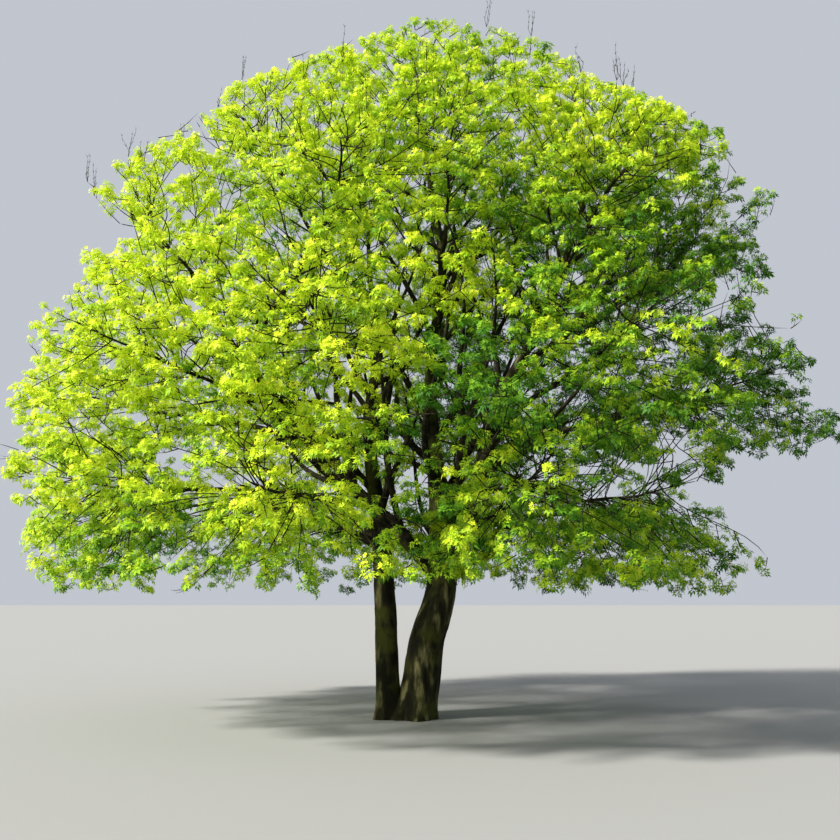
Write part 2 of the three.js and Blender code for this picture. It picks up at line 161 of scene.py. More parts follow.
class Limb:
    """A line that leaves its start on one heading and comes to its end on another."""

    def __init__(self, name, start, end, away, onward, radii, seed, hold=LIMB.hold):
        self.name, self.away, self.onward, self.radii = name, away, onward, radii
        self.span = np.linalg.norm(end - start)
        self.knots = (start, start + away * self.span * hold,
                      end - onward * self.span * LIMB.settle, end)
        draw = stream(seed)
        self.phases = np.array([TURN * draw() for _ in LIMB.waves])

    def point(self, t):
        t = np.asarray(t, float)[..., None]
        u = 1 - t
        a, b, c, d = self.knots
        curve = u**3 * a + 3 * u * u * t * b + 3 * u * t * t * c + t**3 * d
        sway = LIMB.sway * self.span * np.sin(pi * t) ** 2
        return curve + sway * np.sin(np.array(LIMB.waves) * t + self.phases) * LIMB.swing

    def ahead(self, t):
        t = np.asarray(t, float)
        along = unit(self.point(t + NUDGE) - self.point(t - NUDGE))
        along = np.where((t == 0)[..., None], self.away, along)
        return np.where((t == 1)[..., None], self.onward, along)

    def radius(self, t):
        return from_to(self.radii[::-1], (1 - t) ** LIMB.taper)

    def length(self, samples, start=0.0):
        steps = np.diff(self.point(np.linspace(start, 1, samples)), axis=0)
        return np.linalg.norm(steps, axis=1).sum()

    def at_height(self, height):
        low, high = 0.0, 1.0
        for _ in range(SEARCH.height):
            middle = (low + high) / 2
            if self.point(middle)[2] < height:
                low = middle
            else:
                high = middle
        return low, self.point(low)


def trunk_radius(t, angle):
    flare = np.exp(-t * TRUNK.top[2] / FLARE.height)
    ribs = 1 + FLARE.depth * flare * np.cos(FLARE.ribs * angle + FLARE.turn)
    return from_to(TRUNK.radii, t) * (1 + FLARE.spread * flare) * ribs


def place_masses():
    """The tiers' masses, each a flattened ball that a limb will carry."""
    masses = []
    for row, tier in enumerate(TIERS):
        draw = stream(SEEDS.tier_step * row + SEEDS.tiers)
        for i in range(tier.count):
            off = Values(**{what: size * (draw() - 0.5) for what, size in SCATTER.items()})
            azimuth = tier.first + 360 * i / tier.count + off.azimuth
            across = cos(radians(azimuth))
            notch = RIGHT_NOTCH * max(0, across) ** 2 if tier.name == "skirt" else 0
            reach = tier.reach * (1 - notch + tier.breadth * across**2)
            centre = heading(azimuth, 0) * reach * (1 + off.reach)
            centre[2] = tier.height + off.height
            centre[0] += tier.shift
            if tier.name == FRONT_SLOPE.tier:
                centre[2] += FRONT_SLOPE.fall * min(0, centre[1])
            masses.append(Values(name=f"{tier.name}_{i + 1}", tier=tier, centre=centre,
                                 radius=tier.radius * (1 + off.radius), spray=SPRAY.length,
                                 leaves=tier.leaves + (i % STAGGERS) * tier.stagger, carrier=None))
    return masses


def entry_of(mass, start, pitch):
    toward = unit(mass.centre - start)
    inward = unit(heading(azimuth_of(toward), pitch) + toward)
    return mass.centre - inward * mass.radius * ENTRY, inward


def make_trunk():
    away, onward = (heading(azimuth, 90 - TRUNK.lean) for azimuth in TRUNK.azimuths)
    trunk = Limb("trunk", np.array([0.0, 0.0, -SUNK]), np.array(TRUNK.top, float), away, onward,
                 TRUNK.radii, SEEDS.trunk)
    trunk.radius = lambda t: trunk_radius(t, 0.0)
    return trunk


def make_leads(trunk, masses):
    """The stems beside the trunk and the leaders out of its fork."""
    fork = trunk.at_height(FORK)[1]
    starts = [(*stem.foot, -SUNK) for stem in STEMS]
    starts += [fork + (*leader.beside, 0) for leader in LEADERS]
    leads = []
    for lead, start in zip(STEMS + LEADERS, starts):
        mass = next(mass for mass in masses if mass.name == lead.into)
        start = np.array(start, float)
        end, inward = entry_of(mass, start, LEAD_PITCH)
        mass.carrier = Limb(lead.name, start, end, heading(lead.azimuth, lead.pitch), inward,
                            lead.radii, SEEDS.leads + len(leads), lead.hold)
        leads.append(mass.carrier)
    return leads


def make_bough(mass, seed, carriers):
    """A bough for a mass, out of the limb that passes nearest to it."""
    lowest, highest = BOUGH.borne
    places = [(carrier, *carrier.at_height(mass.leaves)) for carrier in carriers]
    places = [place for place in places if lowest < place[1] < highest]
    carrier, t, point = min(places, key=lambda place: np.linalg.norm((place[2] - mass.centre)[:2]))
    end, inward = entry_of(mass, point, mass.tier.arch)
    girth = min(mass.tier.girth, carrier.radius(t) * BOUGH.share)
    away = heading(azimuth_of(mass.centre - point), mass.tier.rise)
    mass.carrier = Limb(f"bough_{mass.name}", point, end, away, inward, (girth, BOUGH.tip), seed)
    mass.carrier.borne_by = carrier.radius(t)
    return mass.carrier


def make_shoots(trunk):
    """The mass of small shoots on the trunk's bark. No limb carries it."""
    root = trunk.at_height(SHOOTS.at)[1]
    onward = heading(SHOOTS.azimuth, SHOOTS.pitch)
    return Values(name=SHOOTS.name, tier=SHOOTS, centre=root + onward * SHOOTS.reach,
                  radius=SHOOTS.radius, spray=SHOOTS.spray, carrier=None, root=root, onward=onward,
                  girth=BOUGH.tip)


def outline_at(height):
    heights, left, right, front = (np.array(column, float) for column in zip(*OUTLINE))
    return [np.interp(height, heights, side) for side in (left, right, front)]


def seen(points):
    """Where points stand on the plane y = 0 as the camera sees them: x and height."""
    near = 1 + points[..., 1] / EYE[0]
    return points[..., 0] / near, EYE[1] + (points[..., 2] - EYE[1]) / near


def ruffle(points):
    """Uneven numbers near 1, which the crown's outline is shrunk by."""
    total = 0
    for direction, length, phase in RUFFLE.waves:
        total = total + np.sin(points @ np.array(direction) / length + phase)
    return 1 + RUFFLE.depth * total


def outwardness(points):
    """0 on the crown's axis and 1 on its dome."""
    left, right, front = outline_at(points[..., 2])
    across = np.where(points[..., 0] < 0, left, right)
    deep = np.where(points[..., 1] < 0, front, (left + right) / 2)
    return np.hypot(points[..., 0] / across, points[..., 1] / deep) / DOME_SHARE


def in_crown(points):
    """Inside the dome and the outline, and above the browse line."""
    x, height = seen(points)
    left, right, _ = outline_at(height)
    uneven = ruffle(points)
    top = OUTLINE[-1][0]
    inside = (-left < x * uneven) & (x * uneven < right) & (height < top) & (points[..., 2] < top)
    return inside & (outwardness(points) * uneven < 1) & (points[..., 2] > BROWSE_LINE)


def crown_reach(start, direction, longest):
    """How far along each direction, up to longest, the crown lasts."""
    low = np.zeros(len(start))
    high = longest.copy()
    for _ in range(SEARCH.crown):
        inside = in_crown(start + direction * high[:, None])
        low = np.where(inside, high, low)
        high = np.where(inside, np.minimum(longest, high * SEARCH.growth), (low + high) / 2)
    return low


class Space:
    """A flattened ball, cut off at the browse line and a little over half way to each neighbour."""

    def __init__(self, mass, masses):
        others = np.array([other.centre for other in masses if other is not mass]) - mass.centre
        away = np.linalg.norm(others, axis=1)
        self.mass, self.normals, self.limits = mass, others / away[:, None], away / 2

    def holds(self, points, slack, bulge):
        offset = points - self.mass.centre
        inside = (offset @ self.normals.T <= self.limits + slack).all(axis=-1)
        inside &= points[..., 2] >= BROWSE_LINE
        if bulge:
            inside &= in_crown(points)
        offset = offset / (1, 1, FLATNESS)
        return inside & (np.linalg.norm(offset, axis=-1) < self.mass.radius + bulge)

    def reach(self, start, direction, slack=0.0, bulge=0.0):
        low = np.zeros(direction.shape[:-1])
        high = low + 2 * self.mass.radius
        for _ in range(SEARCH.space):
            middle = (low + high) / 2
            inside = self.holds(start + direction * middle[..., None], slack, bulge)
            low = np.where(inside, middle, low)
            high = np.where(inside, high, middle)
        return low


def stem_of(mass, space, seed):
    out = unit(mass.centre - UP * mass.centre[2] * STEM.aim)
    away = max(0.0, float(space.reach(mass.centre, out)) - mass.spray * SPRAY.margin)
    return Limb("stem", mass.root, mass.centre + out * away, mass.onward, out,
                (mass.girth, STEM.tip), seed)


def turned(v, axis, angle):
    """v turned round an axis by an angle."""
    across = np.cross(axis, v)
    return v * cos(angle) + across * sin(angle) + axis * np.dot(axis, v) * (1 - cos(angle))


def first_twigs(mass, stem, space, draw, between):
    """The source's twigs: their roots, directions, and lengths up to where its sprays start.
    between moves the pairs on, as a share of the way to the next pair."""
    twigs = []
    for pair in range(TWIG.pairs):
        t = TWIG.low + (TWIG.high - TWIG.low) * (pair + between) / (TWIG.pairs - 1)
        turn = ((pair + between) % 2) * pi / 2 + TWIG.twist * (draw() - 0.5)
        for angle in (turn, turn + pi):
            root, ahead = stem.point(t), stem.ahead(t)
            level = turned(unit(np.cross(ahead, UP)), ahead, angle)
            lean = radians(TWIG.angle + TWIG.scatter * (draw() - 0.5))
            direction = ahead * cos(lean) + level * sin(lean)
            room = float(space.reach(root, direction)) - mass.spray * SPRAY.margin
            length = max(TWIG.shortest * mass.spray, room * (1 - TWIG.vary * draw()))
            twigs.append((root, direction, length))
    return twigs


# Finer growth. First twigs run on through the length of a spray, and second twigs are the sprays.
# A twist is how far, in radians, a twig may stand off its place round its bearer.
FIRST = Values(run_on=1.25, between=(0.0, 0.5, 0.25, 0.75), radii=(7.5, 3.2), rise=0.2,
               rises={"skirt": -0.14, "shoulder": 0.06}, sway=0.15, sides=5, steps=8)
SECOND = Values(spacing=190, low=0.06, angle=52, scatter=26, twist=0.5, length=(600, 330), vary=0.4,
                shortest=0.28, quarter=0.6, droop={"skirt": 0.9, "shoulder": 0.5}, rise=0.16,
                radii=(6.5, 3), sides=3, steps=2)
ALONG = Values(span=(0.14, 0.97), samples=30, spacing=330, angle=56, scatter=26, twist=0.7,
               length=820, vary=(0.6, 1.1), radii=SECOND.radii)
# Slim boughs: those that fan up and out from a stem or leader, those of a bough's two sides, those
# along a mass's stem, and those that spread and hang from it in a skirt mass
INNER, SIDE, OUTER, HANGING = table(
    "limbs span turn angle length vary sway radii sides steps",
    (17, (0.1, 0.9), 137.5, (34, 48), (3000, 1600), 0.25, 0.09, (56, 7), 7, 11),
    (5, (0.28, 0.95), 180, (40, 62), (1900, 1300), 0.3, 0.1, (25, 5), 6, 9),
    (11, (0.15, 0.94), 137.5, (34, 66), (1700, 1000), 0.3, 0.14, (8, 3.2), 5, 8),
    (10, (0.16, 0.97), 180, (40, 80), (1900, 1400), 0.25, 0.17, (6.5, 3), 4, 8))
HANGING_RISE = -0.55
INNER_RISE = 0.4
SIDE_RISE = {"skirt": -0.3, "shoulder": -0.05, "upper": 0.15, "top": 0.25}
INNER_TWIST = 0.4
INNER_SHORTEST = 0.4
BORNE_SHARE = 0.5  # the most of its bearer's girth that a slim bough has
LOWEST_ROOT = BROWSE_LINE + 250
BARE = Values(share=0.48, group=3, heights=(6100, 8700), left_of=3000, low=1850, low_share=0.06,
              outward=0.93, hang=0.25, length=(170, 430), lean=0.13, sway=14, rise=0.1,
              radii=(3.4, 1.5), sides=3, steps=4)
BUDS = Values(pairs=(0.3, 0.48, 0.66, 0.84), turn=1.4, twist=0.5, length=34, vary=(0.5, 1.2),
              angle=0.7, rise=0.3, radii=BARE.radii)
THIRD = Values(pairs=3, low=0.26, high=0.92, angle=54, scatter=40, twist=0.6, tip_angle=0.2,
               length=(170, 80), tip_length=40, vary=0.45, smallest=0.6, lift=0.55, rise=0.15,
               radii=(3.2, 2), sides=3, steps=1)
NEAR_TIP = 0.98  # where on a twig the shoot at its tip is rooted


class Growth:
    """Many twigs of one order, held as arrays: each runs from a root, bends up, and sways.
    bearers and places say which twig of the order before bears each, and where."""

    FIELDS = ("roots", "directions", "lengths", "bends", "sways", "bearers", "places", "girths")

    def __init__(self, radii, arrays):
        self.radii = radii
        for field, array in zip(self.FIELDS, arrays):
            setattr(self, field, array)

    def point(self, index, s):
        s = s[..., None]
        along = self.roots[index] + self.directions[index] * self.lengths[index][..., None] * s
        return along + self.bends[index] * s * s + self.sways[index] * np.sin(TURN * s)

    def ahead(self, index, s):
        return unit(self.point(index, s + NUDGE) - self.point(index, s - NUDGE))

    def every(self, s):
        """The point at s on each twig."""
        return self.point(np.arange(len(self.roots)), np.full(len(self.roots), s))

    def joined(self, other):
        return Growth(self.radii, [np.concatenate([getattr(self, field), getattr(other, field)])
                                   for field in self.FIELDS])

    def chosen(self, keep):
        return Growth(self.radii, [getattr(self, field)[keep] for field in self.FIELDS])

    def line(self, steps, ends=1.0):
        """Points and radii along each twig, as far as its end."""
        count = len(self.roots)
        s = np.linspace(0, 1, steps + 1)[None, :] * np.broadcast_to(ends, count)[:, None]
        index = np.broadcast_to(np.arange(count)[:, None], s.shape)
        return self.point(index, s), from_to(self.radii, s) * self.girths[:, None]


def grown(kind, roots, directions, lengths, rise, sways=0.0, bearers=-1, places=0.0, girths=1.0):
    """Twigs of a kind. Each of the last four is one value for all, or one for each twig."""
    bends = UP * (rise * lengths)[:, None]
    sways = np.broadcast_to(sways, roots.shape)
    others = [np.broadcast_to(values, len(roots)) for values in (bearers, places, girths)]
    return Growth(kind.radii, [roots, directions, lengths, bends, sways, *others])


def side_heading(ahead, turn, angle):
    """Headings beside ahead: round it by turn from its right hand, and off it by angle."""
    right = unit(np.cross(ahead, UP) + TINY)
    over = np.cross(right, ahead)
    level = right * np.cos(turn)[..., None] + over * np.sin(turn)[..., None]
    return unit(ahead * np.cos(angle)[..., None] + level * np.sin(angle)[..., None])


def pair_turns(pairs, quarter, twist, random):
    """Turns of opposite pairs. quarter says how much of a quarter turn each next pair makes."""
    quarters = np.repeat(np.arange(pairs) % 2, 2) * pi / 2 * quarter
    return np.tile([0.0, pi], pairs) + quarters + jitter(random, twist, 2 * pairs)


def angles_of(kind, count, random):
    return np.radians(kind.angle + jitter(random, 0.5, count) * kind.scatter)


def lengths_of(kind, share, random):
    """From a kind's longest to its shortest, each made shorter by chance."""
    return from_to(kind.length, share) * (1 - kind.vary * random.uniform(0, 1, len(share)))


def sways_of(kind, directions, lengths, random):
    """How far each twig swings to a side on its way."""
    swing = jitter(random, 1, len(lengths)) * lengths
    return unit(np.cross(directions, UP) + TINY) * swing[:, None] * kind.sway


def grow_first(mass, stem, space, draw, random):
    """The source's twigs, run on to the end of the sprays that they bear there."""
    twigs = []
    for between in FIRST.between if mass.carrier else (0.0,):
        twigs += first_twigs(mass, stem, space, draw, between)
    twigs.append((stem.point(STEM.end), stem.onward, 0.0))
    roots, directions, lengths = (np.array(column) for column in zip(*twigs))
    rise = FIRST.rises.get(mass.tier.name, FIRST.rise)
    room = space.reach(roots, unit(directions + UP * rise), OVERLAP, BULGE)
    lengths = np.minimum(lengths + mass.spray * FIRST.run_on, room)
    return grown(FIRST, roots, directions, lengths, rise, sways_of(FIRST, directions, lengths, random))


def grow_second(mass, first, random):
    """Opposite pairs along the first twigs, spread flat, longest low on the twig."""
    index, at = [], []
    spacing = SECOND.spacing * mass.spray / SPRAY.length
    for i, length in enumerate(first.lengths):
        pairs = max(2, int(length * (1 - SECOND.low) / spacing))
        for pair in range(pairs):
            index += [i, i]
            at += [SECOND.low + (1 - SECOND.low) * (pair + 0.5) / pairs] * 2
    index, at = np.array(index), np.array(at)
    count = len(index)
    turn = pair_turns(count // 2, SECOND.quarter, SECOND.twist, random)
    angle = angles_of(SECOND, count, random)
    roots = first.point(index, at)
    directions = side_heading(first.ahead(index, at), turn, angle)
    droop = SECOND.droop.get(mass.tier.name, 0)
    directions = unit(directions - UP * droop * random.uniform(0, 1, count)[:, None])
    wanted = lengths_of(SECOND, at, random) * (mass.spray / SPRAY.length)
    room = crown_reach(roots, directions, wanted)
    second = grown(SECOND, roots, directions, np.minimum(wanted, room), SECOND.rise,
                   bearers=index, places=at)
    return second.chosen(room > SECOND.shortest * wanted)


def grow_along(limb, random):
    """Twigs that a bough or leader bears itself, inside the crown, in opposite pairs."""
    low, high = ALONG.span
    pairs = max(2, int(limb.length(ALONG.samples) * (high - low) / ALONG.spacing))
    at = np.repeat(low + (high - low) * (np.arange(pairs) + 0.5) / pairs, 2)
    turn = pair_turns(pairs, 1, ALONG.twist, random)
    angle = angles_of(ALONG, len(at), random)
    roots = limb.point(at)
    directions = side_heading(limb.ahead(at), turn, angle)
    lengths = ALONG.length * random.uniform(*ALONG.vary, len(at))
    keep = in_crown(roots + directions * lengths[:, None]) & (roots[:, 2] > LOWEST_ROOT)
    return grown(ALONG, roots, directions, lengths, SECOND.rise).chosen(keep)


def grow_inner(limb, kind, rise, random):
    """The slim boughs of a limb."""
    number = np.arange(kind.limbs)
    share = (number + 0.5) / kind.limbs
    at = from_to(kind.span, share)
    turn = np.radians(kind.turn) * number + jitter(random, INNER_TWIST, kind.limbs)
    angle = np.radians(from_to(kind.angle, random.uniform(0, 1, kind.limbs)))
    roots = limb.point(at)
    directions = side_heading(limb.ahead(at), turn, angle)
    wanted = lengths_of(kind, share, random)
    lengths = crown_reach(roots, unit(directions + UP * rise), wanted)
    keep = (lengths > INNER_SHORTEST * wanted) & (roots[:, 2] > LOWEST_ROOT)
    sways = sways_of(kind, directions, lengths, random)
    girths = np.minimum(1, BORNE_SHARE * limb.radius(at) / kind.radii[0])
    return grown(kind, roots, directions, lengths, rise, sways, girths=girths).chosen(keep)


def grow_bare(second, random):
    """Groups of long bare shoots. They stand above the crown's light side, and hang out from under
    the lowest twigs."""
    tips = second.every(NEAR_TIP)
    lowest, highest = BARE.heights
    high = (tips[:, 2] > lowest) & (tips[:, 2] < highest) & (tips[:, 0] < BARE.left_of)
    high &= outwardness(tips) > BARE.outward
    low = tips[:, 2] < BARE.low
    share = np.where(low, BARE.low_share, BARE.share)
    keep = (high | low) & (random.uniform(0, 1, len(tips)) < share)
    tips, low = (np.repeat(kept, BARE.group, axis=0) for kept in (tips[keep], low[keep]))
    way = np.where(low[:, None], unit(tips * (1, 1, 0)) - BARE.hang * UP, UP)
    directions = unit(way + random.normal(0, BARE.lean, tips.shape))
    sways = random.normal(0, BARE.sway, tips.shape)
    return grown(BARE, tips, directions, random.uniform(*BARE.length, len(tips)), BARE.rise, sways)


def grow_buds(shoots, random):
    """Pairs of buds along bare shoots."""
    count = len(shoots.roots)
    at = np.tile(np.repeat(BUDS.pairs, 2), count)
    index = np.repeat(np.arange(count), 2 * len(BUDS.pairs))
    turns = np.tile([0.0, pi, BUDS.turn, BUDS.turn + pi], len(BUDS.pairs) // 2 * count)
    turns = turns + jitter(random, BUDS.twist, len(at))
    lengths = BUDS.length * random.uniform(*BUDS.vary, len(at))
    directions = side_heading(shoots.ahead(index, at), turns, np.full(len(at), BUDS.angle))
    return grown(BUDS, shoots.point(index, at), directions, lengths, BUDS.rise)


def grow_third(mass, second, random):
    """Short shoots in opposite pairs, with one at the tip; each ends in a tuft."""
    pairs = THIRD.pairs
    places = THIRD.low + (THIRD.high - THIRD.low) * np.arange(pairs) / (pairs - 1)
    places = np.append(np.repeat(places, 2), 1.0)
    count = len(second.roots)
    index = np.repeat(np.arange(count), len(places))
    at = np.tile(places, count)
    sides = np.append(np.tile([0.0, pi], pairs), 0.0)
    turn = np.tile(sides, count) + jitter(random, THIRD.twist, len(at))
    angle = np.where(at == 1.0, THIRD.tip_angle, angles_of(THIRD, len(at), random))
    directions = unit(side_heading(second.ahead(index, at), turn, angle) + UP * THIRD.lift)
    lengths = np.where(at == 1.0, THIRD.tip_length, lengths_of(THIRD, at, random))
    lengths = lengths * max(THIRD.smallest, mass.spray / SPRAY.length)
    return grown(THIRD, second.point(index, at * NEAR_TIP), directions, lengths, THIRD.rise,
                 bearers=index)


# Meshes

# Directions that few twigs and tufts follow, which a right hand is worked out from
TWIG_ASIDE = (0.31, 0.17, 0.93)
TUFT_ASIDE = (0.21, 0.13, 0.97)


class Soup:
    """Points, triangles and the material number of each triangle, added up."""

    def __init__(self):
        self.points, self.faces, self.tones = [], [], []
        self.count = 0

    def add(self, points, faces, tones=0):
        self.points.append(points.reshape(-1, 3))
        self.faces.append(faces.reshape(-1, 3) + self.count)
        self.tones.append(np.broadcast_to(tones, len(self.faces[-1])))
        self.count += len(self.points[-1])

    def add_twigs(self, growth, kind, ends=1.0):
        if len(growth.roots):
            self.add(*sweep_many(*growth.line(kind.steps, ends), kind.sides))

    def arrays(self):
        return [np.concatenate(heap) for heap in (self.points, self.faces, self.tones)]

    def size(self):
        return sum(len(faces) for faces in self.faces)


def square_to(ahead, aside):
    """Two directions square to ahead and to each other."""
    right = unit(np.cross(ahead, aside) + TINY)
    return right, np.cross(ahead, right)


def wall(bands, sides):
    """The triangles between the rings of a tube."""
    ring = np.arange(bands)[:, None] * sides
    k = np.arange(sides)[None, :]
    here, after = (ring + k).ravel(), (ring + (k + 1) % sides).ravel()
    return np.concatenate([np.stack([here, after, after + sides], 1),
                           np.stack([here, after + sides, here + sides], 1)])


def sweep_many(points, radii, sides):
    """Tapered tubes round many lines, each with a point at its tip and its root in what bears it."""
    count, rings = points.shape[0], points.shape[1] - 1
    right, over = square_to(unit(np.gradient(points, axis=1)), TWIG_ASIDE)
    angles = TURN * np.arange(sides) / sides
    ring = (right[:, :rings, None, :] * np.cos(angles)[None, None, :, None]
            + over[:, :rings, None, :] * np.sin(angles)[None, None, :, None])
    ring = points[:, :rings, None, :] + ring * radii[:, :rings, None, None]
    tube = np.concatenate([ring.reshape(count, -1, 3), points[:, -1:, :]], axis=1)
    k = np.arange(sides)
    last = (rings - 1) * sides
    tip = np.stack([last + k, last + (k + 1) % sides, np.full(sides, rings * sides)], 1)
    faces = np.concatenate([wall(rings - 1, sides), tip])
    return tube, faces[None] + np.arange(count)[:, None, None] * tube.shape[1]


def put(name, data):
    """A new object in the scene."""
    thing = bpy.data.objects.new(name, data)
    bpy.context.scene.collection.objects.link(thing)
    return thing


def make_piece(name, soup, materials, smooth):
    points, faces, tones = soup.arrays()
    faces = faces.astype(np.int32)
    mesh = bpy.data.meshes.new(name)
    mesh.vertices.add(len(points))
    mesh.vertices.foreach_set("co", (points * MM).astype(np.float32).ravel())
    mesh.loops.add(faces.size)
    mesh.loops.foreach_set("vertex_index", faces.ravel())
    mesh.polygons.add(len(faces))
    mesh.polygons.foreach_set("loop_start", np.arange(0, faces.size, 3, dtype=np.int32))
    mesh.polygons.foreach_set("material_index", tones.astype(np.int32))
    mesh.update(calc_edges=True)
    if smooth:
        mesh.shade_smooth()
    else:
        mesh.shade_flat()
    for material in materials:
        mesh.materials.append(material)
    piece = put(name, mesh)
    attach(piece, "root")
    return piece


# Bark. For each kind of limb: points round it, and millimetres from ring to ring.
DETAIL = {"trunk": (112, 13), "left_stem": (52, 16), "back_stem": (36, 20), "leader": (34, 22),
          "bough": (12, 34)}
LEAST_RINGS = 6
LENGTH_SAMPLES = 60
LEVELLED = 400  # the height over which the rings of a limb on the ground turn from level
UPRIGHT = 0.97
# Layers of relief: a cell's width round the limb in radians, how long it is for that, and its depth
# as a share of the limb's girth
RELIEF = ((0.42, 6.0, 0.055), (0.16, 5.0, 0.022), (0.07, 4.0, 0.012))
# Old branch scars on each limb: length along it, angle round it, size and height of the collar
KNOTS = {
    "trunk": [(900, 3.9, 46, 15), (1480, 5.2, 60, 18), (560, 5.6, 40, 10)],
    "left_stem": [(1150, 5.0, 42, 13), (1650, 3.6, 40, 12), (640, 4.4, 34, 9), (2300, 5.3, 44, 12)],
    "back_stem": [(900, 4.4, 36, 10)],
}
SCAR = Values(stretch=1.3, hollow=0.75, width=0.42)
TRUNK_TOP = Values(start=0.86, over=0.14, least=0.02)
HOLLOW = Values(share=0.28, height=650)  # how far the trunk's right side draws in over its foot
SLIMMER = Values(share=0.22, start=0.12, over=0.3)  # what stems and leaders lose above the fork
STEM_FOOT = Values(swell=0.42, height=190, ribs=4, depth=0.3)
LEADER_FOOT = Values(share=0.74, length=340)
COLLAR = Values(swell=0.34, width=0.9)  # where a bough leaves its bearer, in the bearer's girths


def lattice(rows, columns, along, around, seed):
    """Smooth noise from -1 to 1 that wraps round a limb. along and around are in cells."""
    values = np.random.RandomState(seed).uniform(-1, 1, (rows + 2, columns))
    row = np.clip(along, 0, rows).astype(int)
    column = np.floor(around).astype(int)
    u, v = smoothstep(along - row), smoothstep(around - column)
    column, after = column % columns, (column + 1) % columns
    near = values[row, column] * (1 - v) + values[row, after] * v
    far = values[row + 1, column] * (1 - v) + values[row + 1, after] * v
    return near * (1 - u) + far * u


def bark_relief(length, girth, angle, seed):
    """How far the bark stands out, in millimetres, at lengths and angles on a limb."""
    relief = 0
    for cell, stretch, depth in RELIEF:
        columns = round(TURN / cell)
        along, around = np.broadcast_arrays(length / (girth * cell * stretch), angle / TURN * columns)
        noise = lattice(int(along.max()) + 1, columns, along, around, seed + columns)
        relief = relief + depth * girth * noise
    return relief


def knot_relief(name, length, angle, radius):
    """Old branch scars: a collar that stands out round a small hollow."""
    relief = 0
    for at, towards, size, height in KNOTS.get(name, []):
        around = (angle - towards + pi) % TURN - pi
        away = np.hypot((length - at) / SCAR.stretch, around * radius) / size
        collar = np.exp(-away**2) - SCAR.hollow * np.exp(-(away / SCAR.width) ** 2)
        relief = relief + height * collar
    return relief


def kind_of(limb):
    return limb.name if limb.name in DETAIL else limb.name.split("_")[0]


def plain_radius(limb, t, length, angle, seed):
    """A limb's radius before its relief: the solid's own, altered at its foot and above the fork."""
    if limb.name == "trunk":
        rounding = 1 - np.clip((t - TRUNK_TOP.start) / TRUNK_TOP.over, 0, 1) ** 2
        radius = trunk_radius(t, angle) * np.sqrt(np.clip(rounding, TRUNK_TOP.least, 1))
        rightward = np.clip(np.cos(angle), 0, 1)
        return radius * (1 - HOLLOW.share * rightward * np.exp(-(length / HOLLOW.height) ** 2))
    radius = limb.radius(t) + 0 * angle
    kind = kind_of(limb)
    if kind == "bough":
        away = (length - limb.borne_by) / (COLLAR.width * limb.borne_by)
        return radius * (1 + COLLAR.swell * np.exp(-(away**2)))
    radius = radius * (1 - SLIMMER.share * smoothstep((t - SLIMMER.start) / SLIMMER.over))
    if kind == "leader":
        return radius * from_to((LEADER_FOOT.share, 1), smoothstep(length / LEADER_FOOT.length))
    swell = STEM_FOOT.swell * np.exp(-length / STEM_FOOT.height)
    return radius * (1 + swell * (1 + STEM_FOOT.depth * np.cos(STEM_FOOT.ribs * angle + seed)))


def limb_mesh(limb, sides, spacing, seed):
    """A limb's bark. One that stands on the ground starts level with it."""
    grounded = limb.knots[0][2] < 0
    start = limb.at_height(0.0)[0] if grounded else 0.0
    rings = max(LEAST_RINGS, int(limb.length(LENGTH_SAMPLES, start) / spacing))
    t = np.linspace(start, 1, rings + 1)
    centre, ahead = limb.point(t), limb.ahead(t)
    if grounded:
        level = 1 - smoothstep(centre[:, 2] / LEVELLED)
        ahead = unit(ahead * (1 - level)[:, None] + UP * level[:, None])
        centre[0, 2] = 0.0
    chord = unit(limb.knots[3] - limb.knots[0])
    side = np.array([1.0, 0, 0]) if abs(chord[2]) > UPRIGHT else unit(np.cross(chord, UP))
    across = unit(side - (ahead @ side)[:, None] * ahead)
    over = np.cross(ahead, across)
    angle = (TURN * np.arange(sides) / sides)[None, :]
    length = np.append(0, np.cumsum(np.linalg.norm(np.diff(centre, axis=0), axis=1)))[:, None]
    radius = plain_radius(limb, t[:, None], length, angle, seed)
    girth = float(np.median(radius))
    radius = radius + bark_relief(length, girth, angle, seed) * np.minimum(1, radius / girth)
    radius = radius + knot_relief(limb.name, length, angle, radius)
    points = (centre[:, None, :] + across[:, None, :] * (radius * np.cos(angle))[..., None]
              + over[:, None, :] * (radius * np.sin(angle))[..., None])
    k = np.arange(2, sides)
    bottom = np.stack([0 * k, k, k - 1], 1)
    top = np.stack([0 * k, k - 1, k], 1) + rings * sides
    soup = Soup()
    soup.add(points, np.concatenate([wall(rings, sides), bottom, top]))
    return soup


# Leaves and blossom. A young leaf has five lobes; x is across it and y is along its midrib.
LEAF = [(0, 0, 0), (0.56, 0.05, -0.12), (0.6, 0.62, -0.16), (0.28, 0.28, 0.02), (0, 1.02, -0.16),
        (-0.28, 0.28, 0.02), (-0.6, 0.62, -0.16), (-0.56, 0.05, -0.12)]
LEAF_FACES = [(0, 1, 2), (3, 4, 5), (0, 6, 7)]
# For each pair of a tuft's leaves: blade, stalk, rise of the stalk and of the blade. darker is painted
# shade: how many tones darker each pair is dealt, the lowest pair one step darker under the leaves and
# blossom above
LEAVES = Values(pairs=((64, 30, 4, -44), (58, 26, 30, -16), (48, 16, 62, 18)), vary=0.25,
                darker=(1, 0, 0), twist=0.4, stalks=(0.7, 1.3), rise=16, lean=18, roll=0.5)
CORYMB = Values(florets=4, height=54, spread=48, turn=2.4, twist=0.3, start=0.3, dome=0.55,
                uneven=9, outward=(1, 1, 0.45), tilt=14)
FLORET = Values(size=22, sizes=(0.8, 1.25), petals=5, gap=0.36, cup=0.25, aside=(0.3, 0.9, 0.2))
TUFT = Values(kinds=7, size=(0.86, 1.22), in_blossom=0.45, upright=0.9)


def raised(level, pitch):
    """A level direction, raised by an angle."""
    return level * cos(radians(pitch)) + UP * sin(radians(pitch))


